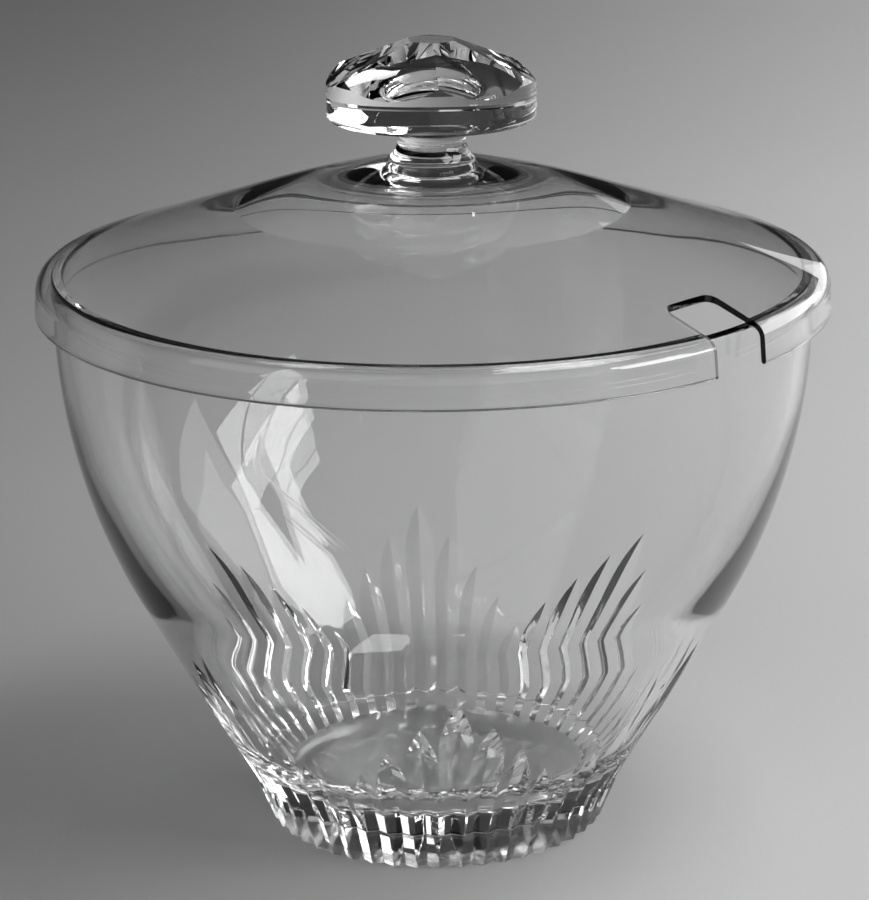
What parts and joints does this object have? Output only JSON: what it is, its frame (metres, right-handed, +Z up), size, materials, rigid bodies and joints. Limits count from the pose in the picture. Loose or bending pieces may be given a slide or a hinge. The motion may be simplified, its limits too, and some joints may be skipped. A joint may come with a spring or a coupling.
{
  "type": "lidded punch bowl",
  "caption": "Lidded punch bowl of clear cut glass: flared bowl with pointed flutes over a thick fluted foot, loose shallow lid with a ladle notch and a faceted knob.",
  "frame": {"origin": "middle of the foot's rest face, on the bowl's axis", "axes": "+Z up along the bowl's axis, -Y out through the middle of the ladle notch"},
  "size_m": [0.25, 0.2495, 0.2534],
  "materials": {
    "bowl_glass": "polished, wheel-cut",
    "lid_glass": "polished",
    "knob_glass": "polished, cut in facets"
  },
  "bodies": {
    "bowl": {"bowl": "bowl_glass"},
    "lid": {"lid": "lid_glass", "knob": "knob_glass"}
  },
  "joints": [
    {"name": "lid_lift", "type": "slide", "parent": "bowl", "child": "lid", "axis": [0, 0, 1], "range_m": [0, 0.15]}
  ]
}
